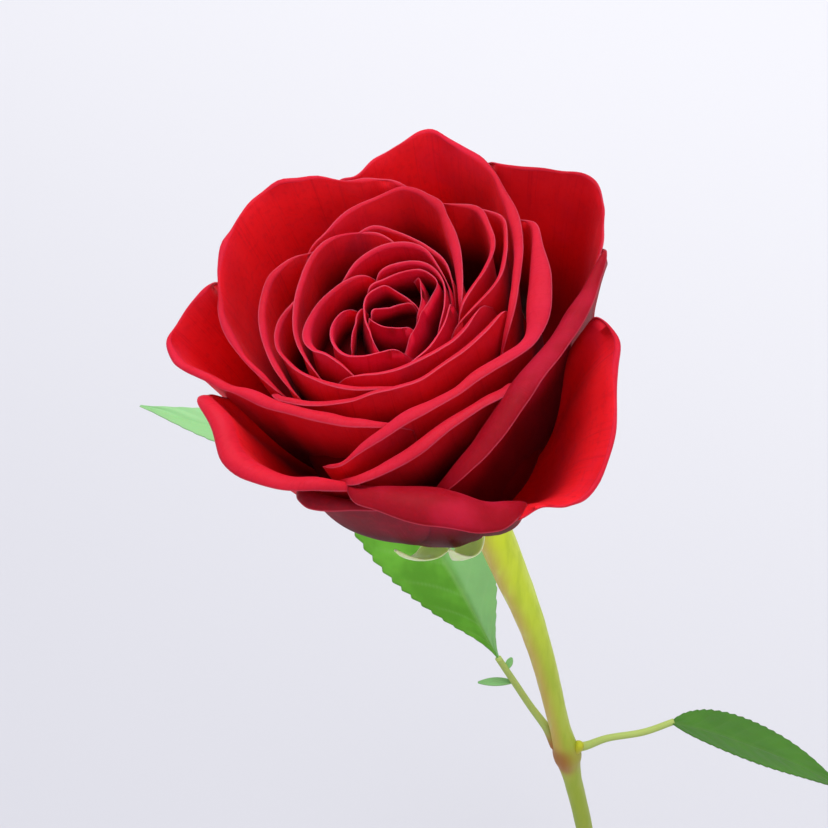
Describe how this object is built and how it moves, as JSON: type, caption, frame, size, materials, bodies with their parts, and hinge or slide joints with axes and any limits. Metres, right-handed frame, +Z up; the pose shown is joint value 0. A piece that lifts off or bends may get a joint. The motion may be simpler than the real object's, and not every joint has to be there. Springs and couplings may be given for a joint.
{
  "type": "rose in a bud vase",
  "caption": "A single cut red rose with leaves on a long stem, standing in a plain white bud vase of water.",
  "frame": {"origin": "middle of the vase's flat foot", "axes": "+Z up along the vase's axis; +X to the side the lower leaf points to; the bloom leans towards -X and faces -Y a little"},
  "size_m": [0.1899, 0.1187, 0.4478],
  "materials": {
    "petal": "velvety red petal",
    "stem": "satin yellow-green stem",
    "leaf": "satin green leaf",
    "vase": "plain white glaze",
    "water": "clear still water"
  },
  "bodies": {
    "root": {"vase": "vase", "water": "water", "stem": "stem", "bloom": "petal", "leaf_left": "leaf", "leaf_right": "leaf", "leaf_back": "leaf"}
  },
  "joints": []
}
